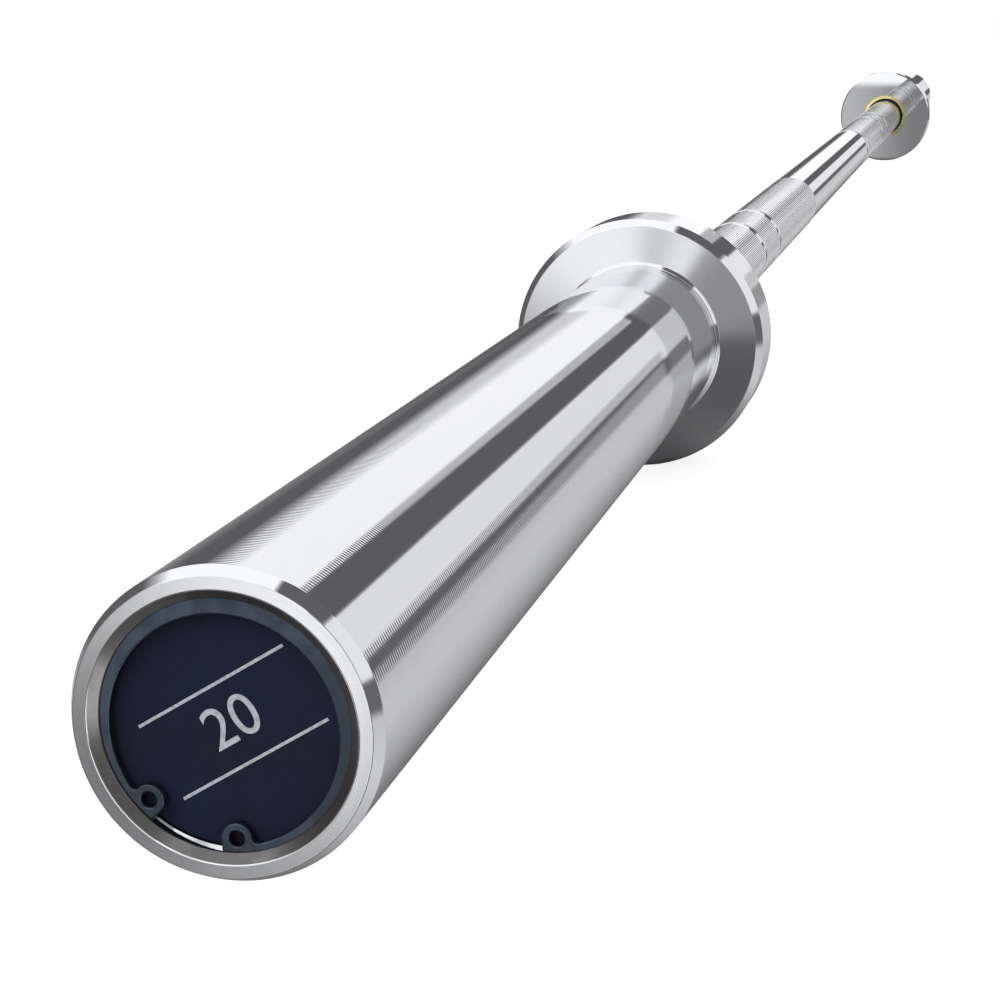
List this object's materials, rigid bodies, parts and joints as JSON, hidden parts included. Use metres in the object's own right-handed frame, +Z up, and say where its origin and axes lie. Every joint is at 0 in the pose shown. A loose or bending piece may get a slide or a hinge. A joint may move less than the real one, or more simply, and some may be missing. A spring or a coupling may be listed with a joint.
{
  "type": "olympic barbell",
  "caption": "Chromed straight lifting bar with a knurled grip, flanged collars and long plate sleeves that turn freely on bronze bushings.",
  "frame": {"origin": "middle of the bar, on its axis", "axes": "+X along the bar towards the right sleeve, +Z up"},
  "size_m": [2.134, 0.078, 0.078],
  "materials": {
    "shaft_chrome": "hard chrome, satin on the knurled lengths",
    "chrome": "polished hard chrome",
    "bronze": "machined bronze",
    "black_rubber": "matte",
    "washer_steel": "ground",
    "spring_steel": "blued spring steel",
    "navy_enamel": "satin dark blue enamel"
  },
  "bodies": {
    "shaft": {"shaft": "shaft_chrome", "left_inner_thrust_washer": "washer_steel", "left_outer_thrust_washer": "washer_steel", "left_shaft_snap_ring": "spring_steel", "right_inner_thrust_washer": "washer_steel", "right_outer_thrust_washer": "washer_steel", "right_shaft_snap_ring": "spring_steel"},
    "left_sleeve": {"left_sleeve": "chrome", "left_collar": "chrome", "left_inner_bushing": "bronze", "left_dust_seal": "black_rubber", "left_outer_bushing": "bronze", "left_end_cap": "navy_enamel", "left_cap_snap_ring": "spring_steel"},
    "right_sleeve": {"right_sleeve": "chrome", "right_collar": "chrome", "right_inner_bushing": "bronze", "right_dust_seal": "black_rubber", "right_outer_bushing": "bronze", "right_end_cap": "navy_enamel", "right_cap_snap_ring": "spring_steel"}
  },
  "joints": [
    {"name": "left_sleeve_spin", "type": "hinge", "parent": "shaft", "child": "left_sleeve", "pos_m": [-0.875, 0, 0], "axis": [1, 0, 0], "continuous": true},
    {"name": "right_sleeve_spin", "type": "hinge", "parent": "shaft", "child": "right_sleeve", "pos_m": [0.875, 0, 0], "axis": [1, 0, 0], "continuous": true}
  ]
}
